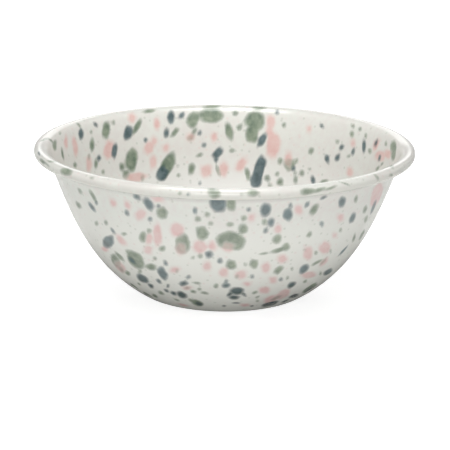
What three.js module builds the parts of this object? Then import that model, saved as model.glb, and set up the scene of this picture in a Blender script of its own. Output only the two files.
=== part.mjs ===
// Enamelled serving bowl with a rolled rim: millimetres, +Z up, standing on z = 0, axis on +Z.
// One steel pressing is coated on both faces. A thin dark ground coat bonds a cream cover coat to it.
// Each face of each layer is the same chain of curves, set back by the layers in front of it,
// so neighbouring layers lie face to face and follow every change of size together.
import * as THREE from "three";

// Overall size
const RIM_DIAMETER = 200; // over the rolled bead
const BOWL_HEIGHT = 81; // from the table to the crest of the bead

// Foot: a flat standing ring round a shallow panel that is pressed up, so that the bowl doesn't rock
const FOOT_DIAMETER = 66;
const FOOT_RING_WIDTH = 8;
const PANEL_RISE = 1.2;
const PANEL_STEP_RUN = 6;

// Wall: a corner bend at the foot, then one long curve up to the rim, angles from the table
const CORNER_RADIUS = 20;
const CORNER_ANGLE = THREE.MathUtils.degToRad(30);
const WALL_TOP_ANGLE = THREE.MathUtils.degToRad(64);
const WALL_LOWER_FULLNESS = 0.43; // tangent lengths at the wall's ends, as shares of its chord
const WALL_UPPER_FULLNESS = 0.24;

// Rolled rim: the wall flares outwards over the crest and curls round into a hollow bead
const FLARE_RADIUS = 6;
const FLARE_END_ANGLE = THREE.MathUtils.degToRad(20);
const BEAD_DIAMETER = 6.2;
const CURL_SLIT = 0.4; // left open between the curled-in edge and the wall

// Layers, from the metal outwards
const STEEL_THICKNESS = 0.8;
const GROUND_COAT_THICKNESS = 0.1;
const COVER_COAT_THICKNESS = 0.2;
const LAYER_CLEARANCE = 0.01; // keeps fused faces from sharing volume

// Fineness of the facets
const TURN_SEGMENTS = 36;
const STEPS = { flat: 1, panelStep: 3, corner: 3, wall: 6, flare: 2, crest: 1, brow: 3, underRoll: 4 };

// Depth of each face below the one that food touches
const COAT_THICKNESS = GROUND_COAT_THICKNESS + COVER_COAT_THICKNESS;
const DEPTH = {
  foodFace: 0,
  innerBond: COVER_COAT_THICKNESS,
  innerMetal: COAT_THICKNESS,
  outerMetal: COAT_THICKNESS + STEEL_THICKNESS,
  outerBond: COAT_THICKNESS + STEEL_THICKNESS + GROUND_COAT_THICKNESS,
  tableFace: COAT_THICKNESS + STEEL_THICKNESS + COAT_THICKNESS,
};

// Headings of the sheet as it rolls over the rim
const HEADING_LEVEL = 0;
const HEADING_DOWN = -Math.PI / 2;
const QUARTER_TURN = Math.PI / 2;

const beadRadius = BEAD_DIAMETER / 2;
const beadCentre = new THREE.Vector2(RIM_DIAMETER / 2 - beadRadius, BOWL_HEIGHT - beadRadius);

// A unit vector along a heading, in the plane of radius and height.
function along(heading) {
  return new THREE.Vector2(Math.cos(heading), Math.sin(heading));
}

// The unit vector to the right of a heading: away from the food side of the sheet.
function rightOf(heading) {
  return along(heading - QUARTER_TURN);
}

// An arc that leaves a point on one heading and ends on another.
function bend(start, radius, fromHeading, toHeading) {
  const turnsRight = toHeading < fromHeading;
  const centre = start.clone().addScaledVector(rightOf(fromHeading), turnsRight ? radius : -radius);
  const swing = turnsRight ? QUARTER_TURN : -QUARTER_TURN;
  return new THREE.EllipseCurve(
    centre.x, centre.y, radius, radius, fromHeading + swing, toHeading + swing, turnsRight,
  );
}

// A curve between two points with the given headings and tangent lengths at its ends.
function sweep(start, startHeading, startReach, end, endHeading, endReach) {
  return new THREE.CubicBezierCurve(
    start,
    start.clone().addScaledVector(along(startHeading), startReach),
    end.clone().addScaledVector(along(endHeading), -endReach),
    end,
  );
}

// Where the wall hands over to the flare, worked back from the bead.
function flareStart() {
  const flareEnd = beadCentre.clone().addScaledVector(rightOf(FLARE_END_ANGLE), -beadRadius);
  const flareCentre = flareEnd.clone().addScaledVector(rightOf(FLARE_END_ANGLE), FLARE_RADIUS);
  return flareCentre.addScaledVector(rightOf(WALL_TOP_ANGLE), -FLARE_RADIUS);
}

// The heading at which the curl's skin comes within the slit's width of the outside of the wall.
function curlEndHeading(wallTop) {
  const wallNormal = rightOf(WALL_TOP_ANGLE);
  const wallSkin = wallTop.clone().addScaledVector(wallNormal, DEPTH.tableFace);
  const reach = beadCentre.clone().sub(wallSkin).dot(wallNormal);
  const share = THREE.MathUtils.clamp((CURL_SLIT - reach) / beadRadius, -1, 1);
  return wallNormal.angle() - 2 * Math.PI - Math.acos(share) - QUARTER_TURN;
}

// The food-side face from the middle of the floor to the curled-in edge, as curves with step counts.
// The wall stretch is what both coats cover; the roll beyond it carries the inner coats alone.
function foodFaceCurves() {
  const ringOuter = new THREE.Vector2(FOOT_DIAMETER / 2, DEPTH.tableFace);
  const ringInner = new THREE.Vector2(ringOuter.x - FOOT_RING_WIDTH, ringOuter.y);
  const panelEdge = new THREE.Vector2(ringInner.x - PANEL_STEP_RUN, ringInner.y + PANEL_RISE);
  const panelMiddle = new THREE.Vector2(0, panelEdge.y);
  const stepReach = PANEL_STEP_RUN / 2;

  const corner = bend(ringOuter, CORNER_RADIUS, HEADING_LEVEL, CORNER_ANGLE);
  const wallFoot = corner.getPoint(1);
  const wallTop = flareStart();
  const chord = wallFoot.distanceTo(wallTop);

  const flare = bend(wallTop, FLARE_RADIUS, WALL_TOP_ANGLE, FLARE_END_ANGLE);
  const crest = bend(flare.getPoint(1), beadRadius, FLARE_END_ANGLE, HEADING_LEVEL);
  const brow = bend(crest.getPoint(1), beadRadius, HEADING_LEVEL, HEADING_DOWN);
  const underRoll = bend(brow.getPoint(1), beadRadius, HEADING_DOWN, curlEndHeading(wallTop));

  const wall = [
    { curve: new THREE.LineCurve(panelMiddle, panelEdge), steps: STEPS.flat },
    {
      curve: sweep(panelEdge, HEADING_LEVEL, stepReach, ringInner, HEADING_LEVEL, stepReach),
      steps: STEPS.panelStep,
    },
    { curve: new THREE.LineCurve(ringInner, ringOuter), steps: STEPS.flat },
    { curve: corner, steps: STEPS.corner },
    {
      curve: sweep(
        wallFoot, CORNER_ANGLE, WALL_LOWER_FULLNESS * chord,
        wallTop, WALL_TOP_ANGLE, WALL_UPPER_FULLNESS * chord,
      ),
      steps: STEPS.wall,
    },
    { curve: flare, steps: STEPS.flare },
  ];
  const roll = [
    { curve: crest, steps: STEPS.crest },
    { curve: brow, steps: STEPS.brow },
    { curve: underRoll, steps: STEPS.underRoll },
  ];
  return { wall, roll };
}

// Points and outward normals along a run of curves, ends included once.
function stations(run) {
  const list = run.flatMap(({ curve, steps }) =>
    Array.from({ length: steps }, (_, step) => station(curve, step / steps)),
  );
  list.push(station(run.at(-1).curve, 1));
  return list;
}

function station(curve, share) {
  const heading = curve.getTangent(share).angle();
  return { point: curve.getPoint(share), normal: rightOf(heading) };
}

// A solid layer of the bowl: the space between two depths along a run of stations, turned about the axis.
function layer(name, run, nearDepth, farDepth, material) {
  const faceAt = (depth) => run.map(({ point, normal }) => point.clone().addScaledVector(normal, depth));
  const seatDepth = nearDepth > DEPTH.foodFace ? nearDepth + LAYER_CLEARANCE : nearDepth;
  const outline = [...faceAt(farDepth), ...faceAt(seatDepth).reverse()];
  outline.at(0).x = 0;
  outline.at(-1).x = 0;
  const geometry = new THREE.LatheGeometry(outline, TURN_SEGMENTS);
  geometry.rotateX(QUARTER_TURN);
  const mesh = new THREE.Mesh(geometry, material);
  mesh.name = name;
  return mesh;
}

const steel = new THREE.MeshStandardMaterial({ color: 0x77797b, roughness: 0.55, metalness: 1 });
const groundEnamel = new THREE.MeshStandardMaterial({ color: 0x20242c, roughness: 0.35, metalness: 0 });
const creamInside = new THREE.MeshStandardMaterial({ color: 0xefece2, roughness: 0.12, metalness: 0 });
const creamOutside = new THREE.MeshStandardMaterial({ color: 0xebe8df, roughness: 0.14, metalness: 0 });

const { wall, roll } = foodFaceCurves();
const wallStations = stations(wall);
const sheetStations = stations([...wall, ...roll]);

const bowl = new THREE.Group();
bowl.name = "serving_bowl";
bowl.add(
  layer("steel_pressing", sheetStations, DEPTH.innerMetal, DEPTH.outerMetal, steel),
  layer("inner_ground_coat", sheetStations, DEPTH.innerBond, DEPTH.innerMetal, groundEnamel),
  layer("inner_cover_coat", sheetStations, DEPTH.foodFace, DEPTH.innerBond, creamInside),
  layer("outer_ground_coat", wallStations, DEPTH.outerMetal, DEPTH.outerBond, groundEnamel.clone()),
  layer("outer_cover_coat", wallStations, DEPTH.outerBond, DEPTH.tableFace, creamOutside),
);

export default bowl;
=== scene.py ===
"""Enamelled serving bowl with a rolled rim: smooth layers, splattered glaze, stage and camera."""

import logging
import math
import random
from dataclasses import dataclass, field, replace
from enum import Enum
from typing import Any, Callable, Union

import bmesh
import bpy
import numpy as np
from mathutils import Matrix, Vector
from mathutils.bvhtree import BVHTree

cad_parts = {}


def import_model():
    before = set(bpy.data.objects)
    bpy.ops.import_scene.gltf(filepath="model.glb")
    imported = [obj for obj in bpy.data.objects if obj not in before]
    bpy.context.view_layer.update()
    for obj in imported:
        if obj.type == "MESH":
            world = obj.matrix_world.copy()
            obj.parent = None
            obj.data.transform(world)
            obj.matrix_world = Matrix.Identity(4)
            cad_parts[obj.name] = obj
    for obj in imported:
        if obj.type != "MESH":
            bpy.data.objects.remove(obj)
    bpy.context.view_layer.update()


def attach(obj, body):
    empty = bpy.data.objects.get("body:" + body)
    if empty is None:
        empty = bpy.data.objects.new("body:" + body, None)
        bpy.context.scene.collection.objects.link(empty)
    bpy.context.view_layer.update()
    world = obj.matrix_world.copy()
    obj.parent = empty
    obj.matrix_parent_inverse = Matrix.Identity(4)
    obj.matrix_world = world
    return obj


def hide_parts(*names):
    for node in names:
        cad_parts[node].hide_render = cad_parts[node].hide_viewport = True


LOG = logging.getLogger("serving_bowl")
MM = 0.001
BODY = "root"
QUARTER_TURN = math.pi / 2
FULL_TURN = 2 * math.pi

# Sockets of a Mix node that mixes colours
MIX_FIRST, MIX_SECOND, MIX_RESULT = 6, 7, 2

Number = Union[int, float]
Colour = tuple[float, float, float]
Span = tuple[float, float]
Array = np.ndarray

WHITE: Colour = (1.0, 1.0, 1.0)
# The bonding coat's dark colour, which the cream enamels also take as painted shade at their upper edges.
DARK_GROUND: Colour = (0.02, 0.023, 0.03)


class Glaze(Enum):
    """The splattered glazes, in the order in which they lie on the cream.

    Each value names the mesh attribute that holds the distance to the nearest edge of the glaze.
    """

    PINK = "pink_edge"
    SAGE = "sage_edge"
    SLATE = "slate_edge"


class Face(Enum):
    """The faces of the bowl's layers, from the one that food touches to the one on the table."""

    FOOD = "food"
    INNER_BOND = "inner_bond"
    INNER_METAL = "inner_metal"
    OUTER_METAL = "outer_metal"
    OUTER_BOND = "outer_bond"
    TABLE = "table"


class Run(Enum):
    """How far along the sheet a layer goes."""

    WALL = "floor to the end of the flare"
    SHEET = "floor to the curled-in edge"


@dataclass(frozen=True)
class Drop:
    """A drop of glaze as it is seen from the front.

    Attributes:
        glaze: The colour.
        across: Its middle, in pixels of the 450 pixel frame from the left.
        down: Its middle, in pixels from the top.
        wide: Its apparent width in pixels, across its long axis.
        tall: Its apparent length in pixels, along its long axis.
        lean: How far the long axis leans to the right of upright, in degrees.
    """

    glaze: Glaze
    across: float
    down: float
    wide: float
    tall: float
    lean: float = 0.0


PINK, SAGE, SLATE = Glaze.PINK, Glaze.SAGE, Glaze.SLATE

# The drops that are seen from the front, read one by one, by the part of the bowl that they lie on
INSIDE_LEFT: tuple[Drop, ...] = (
    Drop(SAGE, 193, 119.5, 13, 17, 25),
    Drop(SAGE, 212, 116, 23, 15),
    Drop(SAGE, 203, 115, 10, 9),
    Drop(SLATE, 171, 117, 7.5, 13.5, 5),
    Drop(SLATE, 181.5, 115.5, 5.3, 8, 30),
    Drop(SLATE, 166.5, 133, 6, 10, 10),
    Drop(SAGE, 174.5, 132.5, 5, 12, 35),
    Drop(SLATE, 199.5, 133, 4.5, 5.5, 20),
    Drop(SAGE, 194, 132, 5, 9, 30),
    Drop(PINK, 190.5, 137, 8, 8),
    Drop(SAGE, 190.5, 138, 7, 6),
    Drop(SLATE, 204, 145, 5.3, 5.8, 30),
    Drop(PINK, 214, 137, 7, 9),
    Drop(SAGE, 229, 131, 8, 19, -15),
    Drop(SLATE, 217.5, 153, 8, 15, 40),
    Drop(SLATE, 216, 159, 5, 8),
    Drop(PINK, 223.5, 169, 10, 14),
    Drop(SAGE, 218, 170, 4, 13, -15),
    Drop(SLATE, 162.2, 173.5, 12, 16, 25),
    Drop(SAGE, 167, 166, 12.5, 31, 25),
    Drop(SAGE, 199.5, 155, 4, 7, 60),
    Drop(SAGE, 191.5, 169, 7.5, 11.5),
    Drop(PINK, 206, 171, 11, 12),
    Drop(PINK, 153, 162, 6.5, 12),
    Drop(PINK, 149, 147.5, 9, 13, 20),
    Drop(PINK, 154, 141, 6, 8),
    Drop(SLATE, 145.5, 140, 4, 5),
    Drop(SLATE, 128, 133, 9.5, 15.5, 15),
    Drop(SAGE, 137, 126.5, 6, 18, 28),
    Drop(SAGE, 106, 130, 8.5, 18, 8),
    Drop(SLATE, 81, 134, 6, 11),
    Drop(SAGE, 92, 145, 5, 14),
    Drop(SLATE, 114.5, 151, 6, 17, 8),
    Drop(PINK, 109, 150, 11, 18, 15),
    Drop(SAGE, 131.5, 160, 13, 24, 8),
    Drop(SAGE, 122, 167, 5.5, 10),
    Drop(SAGE, 126, 174, 8, 9),
    Drop(PINK, 136, 177, 20, 9),
    Drop(SAGE, 142.5, 178, 4, 7),
    Drop(SLATE, 99, 158, 4.5, 7),
    Drop(SAGE, 96, 164, 4, 11),
    Drop(PINK, 89, 164, 6, 14),
    Drop(SAGE, 89, 157, 3, 6),
    Drop(SAGE, 54.5, 145.5, 4.5, 11),
    Drop(SAGE, 62.5, 154, 2.5, 14, -10),
    Drop(PINK, 66, 142, 3.5, 13),
    Drop(PINK, 75, 146.5, 5, 18, -8),
    Drop(SLATE, 95.5, 124.5, 4, 7, -30),
    Drop(SAGE, 79, 125, 3, 6, -45),
    Drop(SAGE, 113.5, 122.5, 3, 4.5),
    Drop(SAGE, 103, 172, 3.5, 4.5),
    Drop(SAGE, 75, 165, 4, 5),
    Drop(SAGE, 178, 166, 3, 3),
    Drop(SAGE, 178.5, 175, 4, 4),
    Drop(SLATE, 200, 183, 3, 4),
    Drop(SAGE, 60, 133, 3, 3),
    Drop(SAGE, 91, 132, 2.5, 4),
    Drop(PINK, 132, 118, 8, 9),
    Drop(PINK, 157, 124, 6, 10),
    Drop(PINK, 166, 148, 6, 7),
)

INSIDE_RIGHT: tuple[Drop, ...] = (
    Drop(SAGE, 235, 113, 6, 6),
    Drop(SAGE, 239.5, 127, 6, 7, 15),
    Drop(SAGE, 255, 121, 21, 20),
    Drop(SAGE, 252, 133.5, 14, 19),
    Drop(PINK, 270.5, 123, 8, 15),
    Drop(PINK, 269.5, 132, 7, 14),
    Drop(PINK, 273, 145, 14, 25),
    Drop(SLATE, 262, 140, 7.5, 16, 30),
    Drop(SLATE, 258.5, 172, 11.5, 33, 12),
    Drop(SLATE, 256, 181, 12, 16),
    Drop(SLATE, 261.5, 163, 9, 15, 15),
    Drop(SAGE, 247.5, 174, 5.5, 14, -10),
    Drop(SAGE, 267, 178, 6.5, 8),
    Drop(PINK, 241, 165, 9, 14, 30),
    Drop(SAGE, 232, 150.5, 4.5, 5),
    Drop(PINK, 288.5, 160, 7, 16),
    Drop(SAGE, 289.5, 165, 11, 13),
    Drop(SLATE, 293.5, 168.5, 4.5, 6.5),
    Drop(SAGE, 280, 161, 5, 7),
    Drop(SAGE, 296.5, 161, 4, 5),
    Drop(SAGE, 302, 173, 5.5, 7),
    Drop(SAGE, 309.5, 169, 3, 3.5),
    Drop(SAGE, 311, 151, 5, 8, 20),
    Drop(SLATE, 327, 159, 5, 9.5, -10),
    Drop(SLATE, 337.5, 157.5, 5, 9, 15),
    Drop(SLATE, 341.5, 147.5, 4.5, 7, 15),
    Drop(SAGE, 337.5, 142, 4, 4.5),
    Drop(SLATE, 322, 126, 4, 6, -25),
    Drop(SLATE, 313, 180, 4.5, 10, -10),
    Drop(SAGE, 295.5, 180, 4.5, 8),
    Drop(SAGE, 295, 173, 2.5, 6),
    Drop(SAGE, 280, 182, 7, 7.5),
    Drop(SAGE, 277, 174, 4, 5),
    Drop(SAGE, 270, 185, 4, 4),
    Drop(SAGE, 324, 181.5, 4, 9, 75),
    Drop(SAGE, 352, 134, 4.5, 7),
    Drop(SAGE, 360, 129, 3.5, 5),
    Drop(SAGE, 353, 126, 4, 5),
    Drop(SLATE, 353, 152, 3.5, 9, 10),
    Drop(SAGE, 349, 156, 3.5, 4.5, 40),
    Drop(PINK, 353, 143, 4, 7),
    Drop(SLATE, 364, 146, 4.3, 14),
    Drop(SAGE, 370, 151, 3.5, 5.5),
    Drop(PINK, 376, 145, 5, 12, 20),
    Drop(SLATE, 376, 143, 3, 9, 20),
    Drop(PINK, 380.5, 156, 10, 10),
    Drop(SLATE, 379.5, 158, 3, 7, 10),
    Drop(SAGE, 386, 144, 2.5, 5),
    Drop(SAGE, 393.5, 151, 6, 21, 3),
    Drop(SAGE, 377.5, 168.5, 3, 6, 40),
    Drop(PINK, 350, 172, 6, 9),
    Drop(PINK, 309, 129, 4, 5),
    Drop(SAGE, 284, 125, 4, 5),
    Drop(PINK, 388, 154, 7, 9),
    Drop(SAGE, 365.8, 136, 2.6, 5),
    Drop(SAGE, 391, 165.5, 5, 5),
    Drop(SAGE, 382, 164, 2.2, 4, 30),
)

ON_THE_RIM: tuple[Drop, ...] = (
    Drop(SAGE, 66, 171.5, 12, 8),
    Drop(SLATE, 39, 153.5, 2.3, 4.5, -20),
    Drop(SAGE, 46, 163.5, 2, 8, -45),
    Drop(SAGE, 51.5, 161.2, 2, 9, -80),
    Drop(SAGE, 44, 139.5, 2.5, 8, 65),
    Drop(SAGE, 51, 140.5, 2.5, 7, -45),
    Drop(SAGE, 42.3, 161.3, 3.5, 8, -40),
    Drop(SAGE, 92, 178, 4, 3),
    Drop(SAGE, 180, 193.5, 3, 3),
    Drop(SLATE, 188.5, 194.5, 3.5, 3.5),
    Drop(SAGE, 214.5, 194, 12, 10),
    Drop(SAGE, 212, 190.5, 9, 6),
    Drop(SAGE, 253, 193, 13, 7),
    Drop(SAGE, 242, 194, 3, 3),
    Drop(SAGE, 308, 191.5, 16, 7, -6),
    Drop(SAGE, 319, 190, 4, 14, 68),
    Drop(SAGE, 331, 188, 2.8, 12, 70),
    Drop(SAGE, 345, 183.5, 2, 11, -68),
    Drop(SAGE, 376.7, 177, 3, 7.5, -40),
    Drop(SAGE, 391, 175, 2.8, 3),
    Drop(SAGE, 149, 111, 14, 4, -10),
    Drop(SAGE, 212, 106.5, 18, 4),
    Drop(SAGE, 211, 110.5, 20, 6),
    Drop(SAGE, 259, 108, 15, 3),
    Drop(SLATE, 277, 112, 5, 5, 30),
)

OUTSIDE_LEFT: tuple[Drop, ...] = (
    Drop(SAGE, 80, 191, 3, 7, -35),
    Drop(SAGE, 93, 196, 4, 15, -30),
    Drop(SAGE, 78.5, 205, 4, 9, -30),
    Drop(SLATE, 92, 207, 4, 12, -35),
    Drop(SLATE, 96.5, 203, 3, 5, -20),
    Drop(SAGE, 96.5, 223.5, 3.5, 5, -15),
    Drop(SAGE, 106, 222.5, 3.5, 6, -20),
    Drop(SLATE, 113, 231, 3, 8, -40),
    Drop(SLATE, 108, 242, 11.5, 13.5, 30),
    Drop(SAGE, 124, 234, 5, 4),
    Drop(PINK, 113, 203, 6, 9, -30),
    Drop(PINK, 127.5, 205, 5, 9, -30),
    Drop(PINK, 140.5, 214.5, 10, 9),
    Drop(PINK, 121, 240, 6, 12, -45),
    Drop(PINK, 105, 249, 7, 5),
    Drop(SLATE, 137, 197, 5.5, 10, -50),
    Drop(SLATE, 148.5, 204, 8.5, 15, -28),
    Drop(PINK, 158, 199, 10, 6),
    Drop(SLATE, 127, 213, 4, 7.5, -25),
    Drop(SLATE, 150, 219, 4.5, 5),
    Drop(SLATE, 158.5, 206, 4, 4),
    Drop(SAGE, 162, 213, 11.5, 13, -20),
    Drop(SLATE, 195, 210.5, 5, 7.5),
    Drop(SAGE, 207, 214.5, 6, 6),
    Drop(SAGE, 198, 219, 6.5, 6),
    Drop(SAGE, 210.5, 223.5, 5, 4),
    Drop(SLATE, 218, 203, 17, 20),
    Drop(SAGE, 231, 204, 10, 15),
    Drop(SAGE, 230, 224.5, 8, 5, 10),
    Drop(SAGE, 143, 237, 8, 11),
    Drop(PINK, 149, 239, 7, 11),
    Drop(SAGE, 149, 231, 5, 5),
    Drop(PINK, 157.5, 235, 8, 22),
    Drop(PINK, 148, 250, 8, 7),
    Drop(PINK, 177, 230, 14, 13),
    Drop(SAGE, 162, 248.7, 6.5, 6),
    Drop(SAGE, 182.5, 244, 16, 20),
    Drop(PINK, 181, 248.5, 10, 12),
    Drop(SAGE, 202, 233.5, 12.5, 15, -20),
    Drop(SAGE, 231, 241, 30, 19),
    Drop(PINK, 228, 247, 12, 9),
    Drop(PINK, 200, 247, 13, 13),
    Drop(PINK, 212, 246, 9, 8),
    Drop(SLATE, 209, 254.5, 8.5, 8),
    Drop(SAGE, 200.5, 256, 5.5, 5),
    Drop(SAGE, 193, 257.5, 4, 3.5),
    Drop(SLATE, 220, 261, 6, 6),
    Drop(SAGE, 231, 265, 11, 10),
    Drop(PINK, 207, 266, 8, 8.5),
    Drop(PINK, 223.5, 272.5, 9, 9),
    Drop(SLATE, 165.5, 263, 4.3, 6.5, -40),
    Drop(SAGE, 155, 258.5, 3.5, 3.5),
    Drop(SAGE, 135.5, 260, 14, 22, -42),
    Drop(SLATE, 132, 260.5, 4, 10, -50),
    Drop(SAGE, 119.3, 256.2, 4, 13, -42),
    Drop(SAGE, 128, 252, 3.5, 6, -40),
    Drop(SAGE, 115.5, 261, 8, 15, -22),
    Drop(PINK, 120, 267, 7, 14, -40),
    Drop(SAGE, 121, 269, 4, 9, -40),
    Drop(SAGE, 127.5, 273, 4, 7, -50),
    Drop(SAGE, 140, 271.5, 4.5, 4),
    Drop(SAGE, 151, 267, 7, 12, -75),
    Drop(SLATE, 162.5, 273.5, 9, 14.5, -35),
    Drop(SLATE, 142.5, 278.5, 7, 14, -55),
    Drop(SLATE, 151, 286, 4, 6.5, -55),
    Drop(SLATE, 159, 281.3, 3.5, 7, -50),
    Drop(SLATE, 168, 285.8, 3, 3.4),
    Drop(PINK, 175, 270, 9, 6),
    Drop(SAGE, 177, 271, 3.5, 4),
    Drop(SLATE, 183.5, 283.5, 9, 5.5),
    Drop(PINK, 187, 288, 8, 4),
    Drop(SAGE, 187, 288, 6, 3),
    Drop(SLATE, 188.5, 277, 5, 3.8),
    Drop(SAGE, 197, 283, 2.5, 7, -80),
    Drop(SAGE, 204.5, 293, 3, 7, -80),
    Drop(SAGE, 199.5, 289, 4, 3),
    Drop(SAGE, 155, 296, 3, 7, -62),
    Drop(SAGE, 193, 291.5, 3.2, 6.5, -75),
    Drop(SLATE, 166.5, 290.6, 2.8, 6, -62),
    Drop(SLATE, 173.8, 293.3, 3.8, 7.5, -62),
    Drop(SLATE, 182, 295, 6.5, 12, -70),
    Drop(SAGE, 197, 303, 6, 14, -72),
    Drop(SLATE, 199, 304, 3.5, 8, -75),
    Drop(SAGE, 161, 293, 3.5, 6.5, -60),
    Drop(SLATE, 226, 285.5, 9, 5),
    Drop(SLATE, 226, 281.5, 4, 5),
    Drop(SAGE, 216, 286, 5, 5),
    Drop(SLATE, 237, 291, 15, 8),
    Drop(SLATE, 244, 294.5, 3, 6, -55),
    Drop(SLATE, 230, 294, 4, 8, 60),
    Drop(SLATE, 236, 303, 8, 2),
    Drop(SLATE, 234, 297.5, 11, 4.5),
    Drop(SLATE, 224, 306, 3.5, 2),
    Drop(SAGE, 134, 286, 2.4, 10, -52),
    Drop(SAGE, 147.5, 294.5, 2.6, 11, -60),
    Drop(SAGE, 139, 284, 2, 4, -50),
    Drop(SAGE, 177, 300, 2, 5, -70),
    Drop(PINK, 183, 305, 2.2, 9, -76),
    Drop(SAGE, 191.5, 300.5, 3, 8, -75),
)

OUTSIDE_RIGHT: tuple[Drop, ...] = (
    Drop(SLATE, 265.5, 210, 12, 14.5, 15),
    Drop(SLATE, 271, 222, 8, 9, 20),
    Drop(SAGE, 264.5, 222, 6, 6.5),
    Drop(SLATE, 265.5, 230.5, 4.5, 5.5, 25),
    Drop(SLATE, 288, 214.5, 9.5, 14),
    Drop(SLATE, 290.5, 205.5, 4.3, 5.8),
    Drop(SLATE, 249, 209.5, 4.5, 5),
    Drop(SAGE, 244, 218, 6, 6),
    Drop(SAGE, 243, 229, 10, 10.5),
    Drop(PINK, 251.5, 217.5, 7, 7),
    Drop(PINK, 278, 229, 7, 8),
    Drop(PINK, 299, 210, 8, 9),
    Drop(SAGE, 277, 239, 9, 11, 30),
    Drop(SAGE, 279, 250, 5, 18, 72),
    Drop(SAGE, 286, 247, 7, 9, 50),
    Drop(SAGE, 264, 253.5, 2.5, 9, 82),
    Drop(SAGE, 309.5, 234.5, 4.5, 6.5, 30),
    Drop(SLATE, 321.5, 224, 5.2, 5.8),
    Drop(SAGE, 314, 209.5, 7, 14.5, 35),
    Drop(SLATE, 307, 204.5, 4.2, 8, 35),
    Drop(SLATE, 323.5, 197.5, 3.5, 7, 65),
    Drop(SLATE, 342, 202, 7, 12, 12),
    Drop(SAGE, 356, 199, 4, 8, 12),
    Drop(SLATE, 352.5, 218, 5.5, 12.5, 25),
    Drop(SAGE, 365, 209.5, 3.5, 9, 20),
    Drop(SLATE, 373.5, 207, 3, 16, 20),
    Drop(SAGE, 366, 219, 3, 8, 22),
    Drop(SAGE, 340.5, 230, 3, 4),
    Drop(PINK, 334.5, 235, 3.5, 4.5),
    Drop(SAGE, 354, 238, 2.8, 9, 15),
    Drop(SAGE, 362, 235, 3.5, 13, 25),
    Drop(SLATE, 343, 251, 2, 14, 42),
    Drop(PINK, 340.5, 217.5, 7, 7),
    Drop(PINK, 377, 195, 10, 24, 20),
    Drop(PINK, 308, 253, 9.5, 13, 10),
    Drop(SAGE, 305, 250, 4, 3),
    Drop(PINK, 325, 248, 11, 12, 30),
    Drop(PINK, 324, 262, 4, 11, 45),
    Drop(SAGE, 323, 262, 2.5, 9, 45),
    Drop(SAGE, 316, 253, 3.5, 4.5),
    Drop(SAGE, 330.5, 251, 2.5, 5),
    Drop(SAGE, 317, 262.5, 3, 12, 60),
    Drop(PINK, 282.5, 259, 9, 8),
    Drop(PINK, 266, 267.5, 9, 9),
    Drop(PINK, 241, 274.5, 11, 8),
    Drop(PINK, 273, 280, 7, 7),
    Drop(PINK, 264.5, 290, 10, 7),
    Drop(PINK, 247, 284, 7, 4.5),
    Drop(PINK, 309, 275, 14, 6, -10),
    Drop(SAGE, 254, 264, 9, 9.5, 10),
    Drop(SAGE, 245, 264.5, 3, 3),
    Drop(SAGE, 278.5, 270, 6.5, 12, 55),
    Drop(SLATE, 304, 269, 7.5, 12, 45),
    Drop(SAGE, 292, 269, 3, 4),
    Drop(SLATE, 281, 279.5, 4, 4),
    Drop(SAGE, 287.5, 278, 3, 4),
    Drop(SLATE, 252, 276.5, 4.5, 4),
    Drop(SAGE, 237, 276.5, 4, 4),
    Drop(SLATE, 291.5, 285, 5.5, 10, 62),
    Drop(SLATE, 328, 272, 5, 11, 58),
    Drop(SAGE, 320.5, 273.5, 3, 4),
    Drop(SAGE, 305, 281.5, 3, 4.5, 60),
    Drop(SAGE, 255, 292.5, 3, 6, 70),
    Drop(SAGE, 257.5, 297, 2, 4, 80),
    Drop(SAGE, 257.5, 301, 2.5, 4, 80),
    Drop(SLATE, 294, 296, 4, 10, 70),
    Drop(PINK, 271, 299.5, 6, 15, 72),
    Drop(PINK, 283, 294.5, 7, 15, 62),
    Drop(SAGE, 276, 298, 3, 12, 68),
    Drop(PINK, 245, 305, 3, 9, 88),
    Drop(SLATE, 270, 304, 4, 18, 76),
    Drop(SAGE, 310, 288, 5, 18, 60),
    Drop(SLATE, 252, 306, 2, 4, 85),
    Drop(SLATE, 308.5, 290, 2.4, 9, 60),
    Drop(SLATE, 285, 301, 2, 8, 70),
)

SEEN_DROPS = INSIDE_LEFT + INSIDE_RIGHT + ON_THE_RIM + OUTSIDE_LEFT + OUTSIDE_RIGHT


@dataclass(frozen=True)
class Curve:
    """A stretch of the section: an arc or a cubic sweep.

    Attributes:
        at: Gives the point and the heading, in radians, at a share from 0 to 1.
        length: About how long the stretch is, in millimetres.
        turn: How far the heading turns along it, in radians.
    """

    at: Callable[[float], tuple[Array, float]]
    length: float
    turn: float

    def steps(self, pitch: float, widest_turn: float) -> int:
        """How many steps keep each one shorter than a pitch and turn less than an angle."""
        return max(1, math.ceil(self.length / pitch), math.ceil(abs(self.turn) / widest_turn))


def along(heading: float) -> Array:
    """The unit vector along a heading in the plane of radius and height."""
    return np.array((math.cos(heading), math.sin(heading)))


def right_of(heading: float) -> Array:
    """The unit vector to the right of a heading, away from the food."""
    return along(heading - QUARTER_TURN)


def bend(start: Array, radius: float, from_heading: float, to_heading: float) -> Curve:
    """An arc that leaves a point on one heading and ends on another.

    Args:
        start: The first point.
        radius: The arc's radius.
        from_heading: The heading at the start.
        to_heading: The heading at the end; a smaller one turns right.

    Returns:
        The curve.
    """
    side = 1.0 if to_heading < from_heading else -1.0
    centre = start + side * radius * right_of(from_heading)

    def at(share: float) -> tuple[Array, float]:
        """The point and heading at a share of the arc."""
        heading = from_heading + share * (to_heading - from_heading)
        return centre - side * radius * right_of(heading), heading

    return Curve(at, radius * abs(to_heading - from_heading), to_heading - from_heading)


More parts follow.
